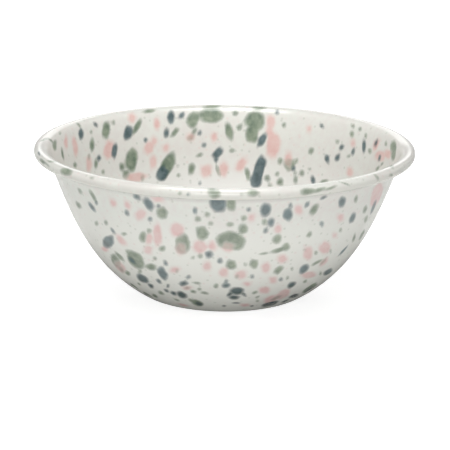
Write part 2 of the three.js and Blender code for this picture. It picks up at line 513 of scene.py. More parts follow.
def sweep(start: Array, end: Array, headings: tuple[float, float], reaches: tuple[float, float]) -> Curve:
    """A cubic curve between two points with given headings and tangent lengths at its ends.

    Args:
        start: The first point.
        end: The last point.
        headings: The headings at the start and the end.
        reaches: The tangent lengths at the start and the end.

    Returns:
        The curve.
    """
    near = start + reaches[0] * along(headings[0])
    far = end - reaches[1] * along(headings[1])

    def at(share: float) -> tuple[Array, float]:
        """Places a point on the sweep.

        Args:
            share: How far along the sweep, from 0 to 1.

        Returns:
            The point there, and the heading.
        """
        rest = 1 - share
        point = rest**3 * start + 3 * rest**2 * share * near + 3 * rest * share**2 * far + share**3 * end
        slope = rest**2 * (near - start) + 2 * rest * share * (far - near) + share**2 * (end - far)
        return point, math.atan2(slope[1], slope[0])

    return Curve(at, float(np.linalg.norm(end - start)), headings[1] - headings[0])


def line(start: Array, end: Array) -> Curve:
    """Draws a straight stretch between two points.

    Args:
        start: Where it begins.
        end: Where it ends.

    Returns:
        The stretch, as a sweep that doesn't turn.
    """
    heading = math.atan2(end[1] - start[1], end[0] - start[0])
    third = float(np.linalg.norm(end - start)) / 3
    return sweep(start, end, (heading, heading), (third, third))


@dataclass(frozen=True)
class BowlSection:
    """The half section of the bowl's sheet and coats, in millimetres, as curves of its food-side face.

    Attributes:
        rim_diameter: Over the rolled bead.
        height: From the table to the crest of the bead.
        foot_diameter: Over the standing ring.
        foot_ring_width: Width of that ring.
        panel_rise: How far the panel inside it is pressed up.
        panel_step_run: Width of the step up to the panel.
        corner_radius: Radius of the bend at the foot.
        corner_angle: How far that bend turns, in radians.
        wall_top_angle: The wall's angle from the table at its top, in radians.
        wall_lower_fullness: Tangent length at the wall's foot, as a share of its chord.
        wall_upper_fullness: Tangent length at its top, as a share of its chord.
        flare_radius: Radius of the flare from the wall to the bead.
        flare_end_angle: The angle from the table where the bead begins, in radians.
        bead_diameter: Thickness of the rolled bead.
        curl_slit: Gap between the curled-in edge and the wall.
        steel: Thickness of the sheet.
        ground_coat: Thickness of each bonding coat.
        cover_coat: Thickness of each cream coat.
        clearance: Gap that keeps fused faces from sharing volume.
    """

    rim_diameter: float = 200.0
    height: float = 81.0
    foot_diameter: float = 66.0
    foot_ring_width: float = 8.0
    panel_rise: float = 1.2
    panel_step_run: float = 6.0
    corner_radius: float = 20.0
    corner_angle: float = math.radians(30)
    wall_top_angle: float = math.radians(64)
    wall_lower_fullness: float = 0.43
    wall_upper_fullness: float = 0.24
    flare_radius: float = 6.0
    flare_end_angle: float = math.radians(20)
    bead_diameter: float = 6.2
    curl_slit: float = 0.4
    steel: float = 0.8
    ground_coat: float = 0.1
    cover_coat: float = 0.2
    clearance: float = 0.01

    @property
    def depths(self) -> dict[Face, float]:
        """Adds up the layers in front of each face.

        Returns:
            How deep each face lies below the food-side face, in millimetres.
        """
        coats = self.cover_coat + self.ground_coat
        return {
            Face.FOOD: 0.0,
            Face.INNER_BOND: self.cover_coat,
            Face.INNER_METAL: coats,
            Face.OUTER_METAL: coats + self.steel,
            Face.OUTER_BOND: coats + self.steel + self.ground_coat,
            Face.TABLE: 2 * coats + self.steel,
        }

    def flare_start(self, bead_centre: Array) -> Array:
        """Works back from the bead to where the wall hands over to the flare.

        Args:
            bead_centre: The middle of the bead.

        Returns:
            The top of the wall.
        """
        bead_radius = self.bead_diameter / 2
        flare_end = bead_centre - bead_radius * right_of(self.flare_end_angle)
        flare_centre = flare_end + self.flare_radius * right_of(self.flare_end_angle)
        return flare_centre - self.flare_radius * right_of(self.wall_top_angle)

    def curl_end(self, bead_centre: Array, wall_top: Array) -> float:
        """Works out where the curl stops: within the slit's width of the outside of the wall.

        Args:
            bead_centre: The middle of the bead.
            wall_top: The top of the wall.

        Returns:
            The heading of the curled-in edge, in radians.
        """
        across = right_of(self.wall_top_angle)
        wall_skin = wall_top + self.depths[Face.TABLE] * across
        reach = float(np.dot(bead_centre - wall_skin, across))
        share = min(1.0, max(-1.0, (self.curl_slit - reach) / (self.bead_diameter / 2)))
        return self.wall_top_angle - math.pi - math.acos(share)

    def curves(self, run: Run) -> list[Curve]:
        """The stretches of the food-side face from the middle of the floor outwards.

        Args:
            run: Where the last stretch ends.

        Returns:
            The curves in order.
        """
        bead_radius = self.bead_diameter / 2
        bead_centre = np.array((self.rim_diameter / 2 - bead_radius, self.height - bead_radius))
        ring_outer = np.array((self.foot_diameter / 2, self.depths[Face.TABLE]))
        ring_inner = ring_outer - (self.foot_ring_width, 0.0)
        panel_edge = ring_inner + (-self.panel_step_run, self.panel_rise)
        panel_middle = np.array((0.0, panel_edge[1]))
        step_reach = self.panel_step_run / 2
        corner = bend(ring_outer, self.corner_radius, 0.0, self.corner_angle)
        wall_foot = corner.at(1)[0]
        wall_top = self.flare_start(bead_centre)
        chord = float(np.linalg.norm(wall_top - wall_foot))
        fullness = (self.wall_lower_fullness * chord, self.wall_upper_fullness * chord)
        flare = bend(wall_top, self.flare_radius, self.wall_top_angle, self.flare_end_angle)
        wall = [
            line(panel_middle, panel_edge),
            sweep(panel_edge, ring_inner, (0.0, 0.0), (step_reach, step_reach)),
            line(ring_inner, ring_outer),
            corner,
            sweep(wall_foot, wall_top, (self.corner_angle, self.wall_top_angle), fullness),
            flare,
        ]
        if run is Run.WALL:
            return wall
        curl_end = self.curl_end(bead_centre, wall_top)
        return [*wall, bend(flare.at(1)[0], bead_radius, self.flare_end_angle, curl_end)]

    def face(self, run: Run, depth: float, pitch: float, widest_turn: float) -> tuple[Array, Array]:
        """Points along a face of the sheet and its normals, which point away from the food.

        Args:
            run: How far along the sheet the face goes.
            depth: How deep it lies below the food-side face.
            pitch: The longest step.
            widest_turn: The most that a step may turn, in radians.

        Returns:
            The points and the normals, as rows of radius and height.
        """
        points, normals = [], []
        stretches = self.curves(run)
        for curve in stretches:
            steps = curve.steps(pitch, widest_turn)
            last = curve is stretches[-1]
            for step in range(steps + 1 if last else steps):
                point, heading = curve.at(step / steps)
                points.append(point + depth * right_of(heading))
                normals.append(right_of(heading))
        return np.array(points), np.array(normals)


@dataclass(frozen=True)
class PhotoView:
    """The camera, on the bowl's front, and what it sees.

    Attributes:
        elevation: How far the camera looks down, in radians.
        roll: How far the camera is turned to the left about its line of sight, in radians.
        distance: From the camera to the point it aims at, in metres.
        aim: The point it aims at, in metres.
        focal: Focal length in pixels of the frame.
        frame: Width and height of the frame in pixels.
        sensor: Sensor width in millimetres.
        clip_start: The nearest distance that it draws, in metres.
    """

    elevation: float = math.radians(14.2)
    roll: float = math.radians(0.6)
    distance: float = 2.0
    aim: tuple[float, float, float] = (0.0006, 0.0, 0.03745)
    focal: float = 3791.0
    frame: float = 450.0
    sensor: float = 36.0
    clip_start: float = 0.05

    @property
    def forward(self) -> Array:
        """The way the camera looks."""
        return np.array((0.0, math.cos(self.elevation), -math.sin(self.elevation)))

    @property
    def up(self) -> Array:
        """The picture's upward direction."""
        level = np.array((0.0, math.sin(self.elevation), math.cos(self.elevation)))
        return math.cos(self.roll) * level - math.sin(self.roll) * np.array((1.0, 0.0, 0.0))

    @property
    def right(self) -> Array:
        """The picture's rightward direction."""
        return np.cross(self.forward, self.up)

    @property
    def place(self) -> Array:
        """Where the camera stands."""
        return np.array(self.aim) - self.distance * self.forward

    def ray(self, across: float, down: float) -> Array:
        """Aims through a pixel of the frame.

        Args:
            across: Pixels from the frame's left edge.
            down: Pixels from its top edge.

        Returns:
            The direction from the camera, of unit length.
        """
        middle = self.frame / 2
        side = (across - middle) / self.focal
        rise = (middle - down) / self.focal
        way = self.forward + side * self.right + rise * self.up
        return way / np.linalg.norm(way)

    def pixel(self, point: Array) -> Array:
        """Projects a point on the frame.

        Args:
            point: The point, in metres.

        Returns:
            Pixels from the frame's left edge and from its top edge.
        """
        off = point - self.place
        ahead = float(np.dot(off, self.forward))
        middle = self.frame / 2
        side = self.focal * float(np.dot(off, self.right)) / ahead
        rise = self.focal * float(np.dot(off, self.up)) / ahead
        return np.array((middle + side, middle - rise))

    def build(self) -> None:
        """Adds the camera to the scene and makes it the scene's own."""
        data = bpy.data.cameras.new("front_camera")
        data.sensor_width = self.sensor
        data.lens = self.focal * self.sensor / self.frame
        data.clip_start = self.clip_start
        camera = bpy.data.objects.new("front_camera", data)
        camera.location = Vector(self.place)
        axes = Matrix((self.right, self.up, -self.forward)).transposed()
        camera.rotation_euler = axes.to_euler()
        bpy.context.scene.collection.objects.link(camera)
        bpy.context.scene.camera = camera


@dataclass(frozen=True)
class LaidDrop:
    """A drop where it lies on the enamel.

    Attributes:
        glaze: The colour.
        coat: The face of the bowl that it lies on.
        middle: Its middle, in metres.
        frame: Rows: the directions round the bowl, along its section and out of the enamel.
        to_unit: Takes millimetres round and along to a circle of radius 1.
        ripple: Size and phase of each wave of its outline.
        square: Power of its outline: 2 for an ellipse, more for straighter sides.
        lift: How far off its plane it still reaches, in radii.
    """

    glaze: Glaze
    coat: Face
    middle: Array
    frame: Array
    to_unit: Array
    ripple: tuple[tuple[float, float], ...]
    square: float = 2.15
    lift: float = 1.4

    @property
    def radius(self) -> float:
        """The radius of the circle of the same area, in millimetres."""
        return 1 / math.sqrt(abs(np.linalg.det(self.to_unit)))

    def edge(self, points: Array) -> Array:
        """How far points lie outside the drop's edge, in millimetres.

        Args:
            points: Rows of points in metres.

        Returns:
            One distance for each point, negative inside the drop.
        """
        local = (points - self.middle) @ self.frame.T / MM
        flat = local[:, :2] @ self.to_unit.T
        turn = np.arctan2(flat[:, 1], flat[:, 0])
        waves = enumerate(self.ripple, 2)
        swell = 1.0 + sum(size * np.cos(wave * turn + phase) for wave, (size, phase) in waves)
        depth = local[:, 2] / (self.lift * self.radius)
        oval = (np.abs(flat) ** self.square).sum(axis=1) ** (1 / self.square)
        spread = np.hypot(oval / swell, depth)
        return (spread - 1.0) * self.radius


@dataclass(frozen=True)
class Spray:
    """How seeded drops fall on a face of the bowl where the camera doesn't see it.

    Attributes:
        count: How many drops there are.
        stretch: The least and the most times that a drop is longer along the section than round the bowl.
        lean: The mean lean of the drops, in degrees.
        lean_spread: How far the lean varies, in degrees.
        usual_radius: The median radius of the drops, in millimetres.
        radius_spread: How far the logarithm of the radius varies.
        radii: The least and the largest radius, in millimetres.
        shares: How many of the drops are pink, sage and slate.
    """

    count: int
    stretch: Span
    lean: float
    lean_spread: float = 15.0
    usual_radius: float = 2.1
    radius_spread: float = 0.55
    radii: Span = (0.9, 6.0)
    shares: tuple[float, float, float] = (0.30, 0.42, 0.28)

    def radius(self, dice: random.Random) -> float:
        """Draws the size of one drop.

        Args:
            dice: Source of chance.

        Returns:
            The drop's radius, in millimetres.
        """
        least, largest = self.radii
        drawn = dice.lognormvariate(math.log(self.usual_radius), self.radius_spread)
        return min(largest, max(least, drawn))

    def glaze(self, dice: random.Random) -> Glaze:
        """The glaze of one drop."""
        return dice.choices(list(Glaze), self.shares)[0]

    def to_unit(self, radius: float, dice: random.Random) -> Array:
        """The matrix that takes millimetres round and along a drop to a circle of radius 1.

        Args:
            radius: The drop's radius, in millimetres.
            dice: The random numbers of its stretch and lean.

        Returns:
            The matrix.
        """
        stretch = dice.uniform(*self.stretch)
        lean = math.radians(dice.gauss(self.lean, self.lean_spread))
        axes = np.array(((math.cos(lean), math.sin(lean)), (-math.sin(lean), math.cos(lean))))
        return np.diag((stretch**0.5 / radius, 1 / (radius * stretch**0.5))) @ axes


@dataclass
class Splatter:
    """All drops of glaze on the bowl: those seen from the front and seeded ones on the sides that aren't.

    Attributes:
        section: The bowl's section.
        view: The camera that sees the drops.
        seed: Start of the random numbers.
        inside: The drops on the unseen part of the inside.
        outside: The drops on the unseen part of the outside.
        pitch: The longest step between the places that those drops may take, in millimetres.
        widest_turn: The most that such a step may turn, in radians.
        bare_middle: Radius of the middle of the floor that takes none, in millimetres.
        clear: How far from the middle of a drop the camera must see nothing, in radii.
        rim_clear: How far below the bead it must lie, in radii.
        same_place: How near a point a ray must come to count as seeing it, in millimetres.
        ripple: The largest wave of a drop's outline, as a share of its radius.
        waves: How large each wave of an outline may be, as shares of that.
        calmest: The smallest that a wave may be, as a share of its largest.
        merge: How far apart two drops of a glaze begin to run together, in millimetres.
        beyond: The distance that stands for being clear of every drop, in millimetres.
        most_stretch: How many times longer than it looks a drop may be, where it is seen at a slant.
        slant_step: The step on the enamel by which its slant is found, in millimetres.
        reach: How far from its middle a drop is worked out, in half lengths.
        margin: How much farther still, in millimetres.
        drops: The drops that are laid.
    """

    section: BowlSection
    view: PhotoView
    seed: int = 11
    inside: Spray = Spray(count=290, stretch=(1.2, 1.8), lean=-15.0)
    outside: Spray = Spray(count=320, stretch=(0.9, 1.3), lean=0.0)
    pitch: float = 1.0
    widest_turn: float = math.radians(12)
    bare_middle: float = 2.0
    clear: float = 1.5
    rim_clear: float = 2.0
    same_place: float = 4.0
    ripple: float = 0.07
    waves: tuple[float, ...] = (1.0, 0.8, 0.6, 0.5)
    calmest: float = 0.2
    merge: float = 0.6
    beyond: float = 12.0
    most_stretch: float = 4.0
    slant_step: float = 0.5
    reach: float = 2.0
    margin: float = 4.0
    drops: list[LaidDrop] = field(default_factory=list)

    def lay(self, shells: dict[Face, bmesh.types.BMesh]) -> None:
        """Places every drop on the enamel.

        Args:
            shells: The meshes of the two cover coats, by the face that shows.
        """
        dice = random.Random(self.seed)
        trees = {face: BVHTree.FromBMesh(shell) for face, shell in shells.items()}
        for drop in SEEN_DROPS:
            hit = self.first_hit(trees, self.view.ray(drop.across, drop.down))
            if hit is None:
                LOG.warning("drop at %s, %s misses the bowl", drop.across, drop.down)
                continue
            self.drops.append(self.laid_as_seen(drop, *hit, dice))
        self.scatter(trees, Face.FOOD, self.inside, dice)
        self.scatter(trees, Face.TABLE, self.outside, dice)

    def first_hit(self, trees: dict[Face, BVHTree], way: Array) -> Union[tuple[Face, Array, Array], None]:
        """Looks along a ray from the camera.

        Args:
            trees: The enamel's faces, for casting rays.
            way: The ray's direction.

        Returns:
            The nearest face, the point of it that is hit and its normal there, or None.
        """
        start, towards = Vector(self.view.place), Vector(way)
        hits = [(face, *tree.ray_cast(start, towards)) for face, tree in trees.items()]
        hits = [hit for hit in hits if hit[1] is not None]
        if not hits:
            return None
        face, point, normal, _, _ = min(hits, key=lambda hit: hit[4])
        return face, np.array(point), np.array(normal)

    def frame_at(self, point: Array, normal: Array) -> Array:
        """Sets up directions on the enamel at a point.

        Args:
            point: The point, in metres.
            normal: The enamel's normal there.

        Returns:
            Unit directions round the bowl, along its section and out of the enamel, as rows.
        """
        around = np.array((-point[1], point[0], 0.0))
        around /= np.linalg.norm(around)
        out = normal - np.dot(normal, around) * around
        out /= np.linalg.norm(out)
        return np.stack((around, np.cross(out, around), out))

    def outline(self, dice: random.Random) -> tuple[tuple[float, float], ...]:
        """Draws the waves of one drop's outline.

        Args:
            dice: Source of chance.

        Returns:
            The height and the phase of each wave.
        """
        return tuple(
            (share * dice.uniform(self.calmest, 1) * self.ripple, dice.uniform(0, FULL_TURN))
            for share in self.waves
        )

    def laid_as_seen(
        self, drop: Drop, coat: Face, point: Array, normal: Array, dice: random.Random
    ) -> LaidDrop:
        """Lays a drop so that the camera sees it with its apparent size and lean.

        Args:
            drop: The drop as seen.
            coat: The face of the bowl that it lies on.
            point: The point of the enamel at its middle.
            normal: The enamel's normal there.
            dice: The random numbers of its outline.

        Returns:
            The laid drop.
        """
        frame = self.frame_at(point, normal)
        middle = self.view.pixel(point)
        steps = [self.view.pixel(point + self.slant_step * MM * way) - middle for way in frame[:2]]
        shown = np.stack(steps, axis=1) / self.slant_step
        left, scales, right = np.linalg.svd(shown)
        shown = left @ np.diag(np.maximum(scales, scales[0] / self.most_stretch)) @ right
        lean = math.radians(drop.lean)
        axes = np.array(((math.cos(lean), math.sin(lean)), (math.sin(lean), -math.cos(lean))))
        to_unit = np.diag((2 / drop.wide, 2 / drop.tall)) @ axes @ shown
        return LaidDrop(drop.glaze, coat, point, frame, to_unit, self.outline(dice))

    def scatter(self, trees: dict[Face, BVHTree], face: Face, spray: Spray, dice: random.Random) -> None:
        """Lays seeded drops on the part of a face below the bead that the camera doesn't see.

        Args:
            trees: The two cover coats.
            face: Which face takes the drops.
            spray: How many drops it takes, and of what kind.
            dice: The random numbers.
        """
        depth = self.section.depths[face]
        points, normals = self.section.face(Run.WALL, depth, self.pitch, self.widest_turn)
        side = -1.0 if face is Face.FOOD else 1.0
        bead_foot = self.section.height - self.section.bead_diameter
        weights = [float(radius) for radius, _ in points]
        laid = 0
        while laid < spray.count:
            index = dice.choices(range(len(points)), weights)[0]
            bearing = dice.uniform(0, FULL_TURN)
            (radius, height), (across, rise) = points[index], side * normals[index]
            turn = np.array((math.cos(bearing), math.sin(bearing), 0.0))
            point = MM * (radius * turn + np.array((0.0, 0.0, height)))
            normal = across * turn + np.array((0.0, 0.0, rise))
            frame = self.frame_at(point, normal)
            size = spray.radius(dice)
            around = [point + self.clear * size * MM * way for way in (*frame[:2], *-frame[:2])]
            spills = face is Face.FOOD and height + self.rim_clear * size > bead_foot
            central = radius < self.bare_middle
            if central or spills or any(self.seen(trees, near, normal) for near in (point, *around)):
                continue
            laid += 1
            glaze = spray.glaze(dice)
            to_unit = spray.to_unit(size, dice)
            self.drops.append(LaidDrop(glaze, face, point, frame, to_unit, self.outline(dice)))

    def seen(self, trees: dict[Face, BVHTree], point: Array, normal: Array) -> bool:
        """Tests whether the camera sees a point of the enamel.

        Args:
            trees: The enamel's faces, for casting rays.
            point: The point, in metres.
            normal: The enamel's normal there.

        Returns:
            True if nothing stands in front of it and it faces the camera.
        """
        way = point - self.view.place
        if np.dot(way, normal) > 0:
            return False
        hit = self.first_hit(trees, way / np.linalg.norm(way))
        return hit is not None and float(np.linalg.norm(hit[1] - point)) < self.same_place * MM

    def colour(self, mesh: bpy.types.Mesh, coat: Face) -> None:
        """Writes the distance to the nearest edge of each glaze to attributes of a mesh.

        Args:
            mesh: A cover coat.
            coat: The face of it that shows.
        """
        count = len(mesh.vertices)
        points = np.empty(3 * count, np.float32)
        mesh.vertices.foreach_get("co", points)
        points = points.reshape(-1, 3).astype(float)
        for glaze in Glaze:
            edges = np.full(count, self.beyond)
            for drop in (drop for drop in self.drops if drop.glaze is glaze and drop.coat is coat):
                half_length = 1 / np.linalg.svd(drop.to_unit, compute_uv=False)[-1]
                reach = (self.reach * half_length + self.margin) * MM
                near = np.flatnonzero(((points - drop.middle) ** 2).sum(axis=1) < reach**2)
                edges[near] = self.merged(edges[near], drop.edge(points[near]))
            attribute = mesh.attributes.new(glaze.value, "FLOAT", "POINT")
            attribute.data.foreach_set("value", edges.astype(np.float32))

    def merged(self, first: Array, second: Array) -> Array:
        """The smaller of two distances, rounded where they are alike so that drops run together."""
        share = np.clip(0.5 + 0.5 * (second - first) / self.merge, 0, 1)
        return second + (first - second) * share - self.merge * share * (1 - share)


class Sock:
    """A socket of a material, whose arithmetic adds Math nodes."""

    def __init__(self, tree: "NodeBench", socket: bpy.types.NodeSocket) -> None:
        """Wraps a node's output socket."""
        self.tree = tree
        self.socket = socket

    def _math(self, operation: str, *values: Union["Sock", Number]) -> "Sock":
        """Adds a Math node on these values."""
        return self.tree.node("ShaderNodeMath", {"operation": operation}, dict(enumerate(values)))

    def __add__(self, other: Union["Sock", Number]) -> "Sock":
        """This value plus another."""
        return self._math("ADD", self, other)

    def __radd__(self, other: Number) -> "Sock":
        """A number plus this value."""
        return self._math("ADD", other, self)

    def __sub__(self, other: Union["Sock", Number]) -> "Sock":
        """This value minus another."""
        return self._math("SUBTRACT", self, other)

    def __rsub__(self, other: Number) -> "Sock":
        """A number minus this value."""
        return self._math("SUBTRACT", other, self)

    def __mul__(self, other: Union["Sock", Number]) -> "Sock":
        """This value times another."""
        return self._math("MULTIPLY", self, other)

    def __rmul__(self, other: Number) -> "Sock":
        """A number times this value."""
        return self._math("MULTIPLY", other, self)


class NodeBench:
    """The node tree of one material or world, with one method that adds any node."""

    def __init__(self, tree: bpy.types.NodeTree) -> None:
        """Starts an empty tree."""
        self.tree = tree
        tree.nodes.clear()

    def node(
        self,
        kind: str,
        settings: Union[dict[str, Any], None] = None,
        inputs: Union[dict[Union[str, int], Any], None] = None,
        output: Union[str, int] = 0,
    ) -> Sock:
        """Adds a node.

        Args:
            kind: The node's type.
            settings: Its properties, set before its sockets.
            inputs: Values or links of its input sockets, by name or number.
            output: The output socket that is wanted.

        Returns:
            That output.
        """
        made = self.tree.nodes.new(kind)
        for name, value in (settings or {}).items():
            setattr(made, name, value)
        for key, value in (inputs or {}).items():
            if isinstance(value, Sock):
                self.tree.links.new(value.socket, made.inputs[key])
            else:
                made.inputs[key].default_value = value
        found = made.outputs[output] if made.outputs else made.inputs[0]
        return Sock(self, found)

    def noise(self, where: Sock, pitch: float, detail: float = 2.0) -> Sock:
        """A smooth noise from about -0.5 to 0.5, with waves of a pitch in millimetres."""
        inputs = {"Vector": where, "Scale": 1 / (pitch * MM), "Detail": detail}
        return self.node("ShaderNodeTexNoise", {"noise_dimensions": "3D"}, inputs) - 0.5

    def fade(self, value: Sock, full: float, gone: float) -> Sock:
        """A smooth step from 1 at one value to 0 at another."""
        inputs = {"Value": value, "From Min": gone, "From Max": full}
        return self.node("ShaderNodeMapRange", {"interpolation_type": "SMOOTHSTEP"}, inputs)

    def mix(self, share: Union[Sock, Number], first: Any, second: Any) -> Sock:
        """A colour between two others."""
        inputs = {"Factor": share, MIX_FIRST: first, MIX_SECOND: second}
        return self.node("ShaderNodeMix", {"data_type": "RGBA"}, inputs, MIX_RESULT)


def rgba(colour: Colour) -> tuple[float, float, float, float]:
    """A colour with full cover."""
    return (*colour, 1.0)


@dataclass(frozen=True)
class GlazeColour:
    """One glaze as it shows on the cream.

    Attributes:
        thin: Linear colour where the glaze is thin.
        thick: Linear colour where it is thick.
        least: How much of the cream it hides where it is thin.
        most: How much it hides where it is thick.
        soft: Half the width of its edge, in millimetres.
        wander: How far its edge wanders, in millimetres.
        spread: How far it has run beyond its outline, in millimetres.
        deep: How far inside the edge it is at its thickest, in millimetres.
        brink: How far outside the edge it begins to thicken, in millimetres.
    """

    thin: Colour
    thick: Colour
    least: float
    most: float
    soft: float
    wander: float
    spread: float
    deep: float
    brink: float = 0.1


ROSE_PINK = GlazeColour(
    thin=(0.74, 0.54, 0.50), thick=(0.70, 0.42, 0.385),
    least=0.5, most=0.84, soft=1.6, wander=3.0, spread=0.45, deep=1.9,
)
DUSTY_PINK = replace(ROSE_PINK, thin=(0.74, 0.535, 0.525), thick=(0.71, 0.415, 0.415))
SAGE_GREEN = GlazeColour(
    thin=(0.275, 0.325, 0.24), thick=(0.114, 0.168, 0.114),
    least=0.5, most=0.95, soft=0.75, wander=2.0, spread=0.15, deep=2.0,
)
TEAL_SLATE = GlazeColour(
    thin=(0.15, 0.20, 0.21), thick=(0.062, 0.099, 0.105),
    least=0.5, most=0.97, soft=0.7, wander=1.7, spread=0.15, deep=1.6,
)
BLUE_SLATE = replace(TEAL_SLATE, thin=(0.10, 0.165, 0.185), thick=(0.042, 0.084, 0.10), deep=2.0)


@dataclass(frozen=True)
class FiringMarks:
    """How uneven the fired enamel is. The pitches of its waves are in millimetres.

    Attributes:
        broad: Pitch of the long waves of a drop's edge.
        broad_share: How much of an edge's wander they make.
        fine: Pitch of its short waves.
        fine_share: How much of the wander those make.
        clouds: Pitch of the cream's clouds.
        grain: Pitch of the smaller clouds in them.
        cloud_band: Half the range of the waves over which a cloud fades.
        pools: Pitch of the patches in which a glaze is thick.
        pool_drift: How much the long waves add to the patches.
        pool_band: Half the range of the waves over which a patch fades.
        ripple: Pitch of the surface's slow ripple.
        drop_rise: How far a drop stands up, as a share of the ripple.
        bump: Strength of the relief.
        bump_height: Its height, in millimetres.
        dulling: How much the clouds add to the roughness.
    """

    broad: float = 9.0
    broad_share: float = 0.45
    fine: float = 2.6
    fine_share: float = 0.55
    clouds: float = 26.0
    grain: float = 3.0
    cloud_band: float = 0.3
    pools: float = 4.2
    pool_drift: float = 0.25
    pool_band: float = 0.28
    ripple: float = 7.0
    drop_rise: float = 0.3
    bump: float = 0.12
    bump_height: float = 0.4
    dulling: float = 0.05


@dataclass(frozen=True)
class SplatteredEnamel:
    """Glossy cream enamel with drops of three glazes fired into it.

    Attributes:
        name: The material's name.
        cream: Linear colour of the cream.
        shade: Linear colour of the cream in its clouds.
        thick: Linear colour of the cream low on the wall, lighter than the cream above it: painted light.
        edge_span: Heights between which painted shade darkens the cream towards its upper edge, in
            millimetres: on the bead's crest inside, dimming its highlight, and under the bead outside.
        fullness: How thick the glazes lie, as a share of their full cover.
        roughness: Roughness of the fired surface.
        pink: The glaze that lies lowest.
        sage: The glaze over it.
        slate: The glaze on top.
        dull_overlap: How much of the sage sinks into pink under it.
        bead_wear: How much of each glaze has run off the bead.
        bead_span: Radii between which a drop runs off the bead, in millimetres.
        pool_span: Heights between which, going down to the foot, the glazes reach their full cover and the
            slate takes painted shade, in millimetres.
        pooled: Linear colour of the slate glaze low near the foot: painted shade.
        pooled_share: How far the slate turns to that painted shade.
        run_span: Heights between which the cream goes from that lighter, painted-light colour low on the
            wall to its usual colour, in millimetres.
        edge_thin: How far the painted shade at the upper edge darkens the cream towards the bonding coat's
            dark colour.
        ground: Linear colour of that painted shade: the dark colour of the bonding coat.
        mist_pitch: Spacing of the finest specks, in millimetres.
        mist_cover: How much of the cream they hide.
        mist_split: Where a speck's random number turns it fully sage, and up to where it is pink.
        mist_speck: How far from its middle a speck is full and gone, in spacings.
        marks: How uneven the enamel is.
    """

    name: str
    cream: Colour
    shade: Colour
    thick: Colour
    edge_span: Span
    fullness: float = 1.0
    roughness: float = 0.16
    pink: GlazeColour = ROSE_PINK
    sage: GlazeColour = SAGE_GREEN
    slate: GlazeColour = TEAL_SLATE
    dull_overlap: float = 0.5
    bead_wear: float = 0.11
    bead_span: Span = (93.5, 95.5)
    # Painted shade: the slate darkens low near the foot.
    pool_span: Span = (16.0, 27.0)
    pooled: Colour = (0.05, 0.062, 0.05)
    pooled_share: float = 0.5
    # Painted light low on the wall, and painted shade in the ground colour at the upper edge.
    run_span: Span = (28.0, 62.0)
    edge_thin: float = 0.09
    ground: Colour = DARK_GROUND
    mist_pitch: float = 3.6
    mist_cover: float = 0.24
    mist_split: Span = (0.55, 0.45)
    mist_speck: Span = (0.08, 0.3)
    marks: FiringMarks = FiringMarks()

    def material(self) -> bpy.types.Material:
        """Makes the material.

        Returns:
            The material.
        """
        made = bpy.data.materials.new(self.name)
        made.use_nodes = True
        bench = NodeBench(made.node_tree)
        marks = self.marks
        where = bench.node("ShaderNodeTexCoord", output="Object")
        broad = bench.noise(where, marks.broad)
        fine = bench.noise(where, marks.fine)
        clouds = bench.noise(where, marks.clouds, detail=1.0)
        pools = bench.noise(where, marks.pools, detail=3.0)
        grain = bench.noise(where, marks.grain, detail=1.0)
        wander = marks.broad_share * broad + marks.fine_share * fine
        depth = bench.fade(pools + marks.pool_drift * broad, marks.pool_band, -marks.pool_band)
        cloudy = bench.fade(clouds + grain, marks.cloud_band, -marks.cloud_band)
        height = bench.node("ShaderNodeSeparateXYZ", inputs={0: where}, output="Z")
        foot = self.foot(bench, height)
        fullness = self.thickness(bench, where, foot)
        colour = bench.mix(cloudy, rgba(self.cream), rgba(self.shade))
        # Painted light low on the wall and painted shade at the cream's upper edge.
        colour = self.run(bench, height, colour)
        colour = self.mist(bench, where, colour)
        relief: Union[Sock, Number] = 0.0
        masks: dict[Glaze, Sock] = {}
        finishes = {Glaze.PINK: self.pink, Glaze.SAGE: self.sage, Glaze.SLATE: self.slate}
        for glaze, finish in finishes.items():
            distance = bench.node("ShaderNodeAttribute", {"attribute_name": glaze.value}, output="Fac")
            edge = distance - finish.spread + finish.wander * wander
            mask = bench.fade(edge, -finish.soft, finish.soft)
            masks[glaze] = mask
            heart = bench.fade(edge + pools, -finish.deep, finish.brink)
            cover = mask * fullness * (finish.least + (finish.most - finish.least) * heart)
            if glaze is Glaze.SAGE:
                cover = cover * (1 - self.dull_overlap * masks[Glaze.PINK])
            tint = bench.mix(depth, rgba(finish.thin), rgba(finish.thick))
            # Painted shade: the slate turns darker low near the foot.
            if glaze is Glaze.SLATE:
                tint = bench.mix(self.pooled_share * foot, tint, rgba(self.pooled))
            colour = bench.mix(cover, colour, tint)
            relief = mask + relief
        ripple = bench.noise(where, marks.ripple, detail=1.0) + marks.drop_rise * relief
        bump = {"Strength": marks.bump, "Distance": marks.bump_height * MM, "Height": ripple}
        inputs = {
            "Base Color": colour,
            "Roughness": self.roughness + marks.dulling * clouds,
            "Normal": bench.node("ShaderNodeBump", inputs=bump),
        }
        shader = bench.node("ShaderNodeBsdfPrincipled", inputs=inputs)
        bench.node("ShaderNodeOutputMaterial", inputs={"Surface": shader})
        return made

    def run(self, bench: NodeBench, height: Sock, colour: Sock) -> Sock:
        """Paints light low on the wall, where the cream turns lighter, and shade towards its upper edge,
        where it darkens.

        Args:
            bench: The material's nodes.
            height: Height over the table.
            colour: The cream.

        Returns:
            The cream with that painted light and shade.
        """
        # Painted light: the cream turns lighter low on the wall.
        low, high = self.run_span
        colour = bench.mix(bench.fade(height, low * MM, high * MM), colour, rgba(self.thick))
        # Painted shade: the cream darkens towards its upper edge, on the bead's crest inside and under the
        # bead outside.
        start, edge = self.edge_span
        thin = self.edge_thin * bench.fade(height, edge * MM, start * MM)
        return bench.mix(thin, colour, rgba(self.ground))

    def foot(self, bench: NodeBench, height: Sock) -> Sock:
        """How near the foot a point is: 1 low down, where the glazes lie fuller and the slate takes painted
        shade, and 0 higher up.
        """
        low, high = self.pool_span
        return bench.fade(height, low * MM, high * MM)

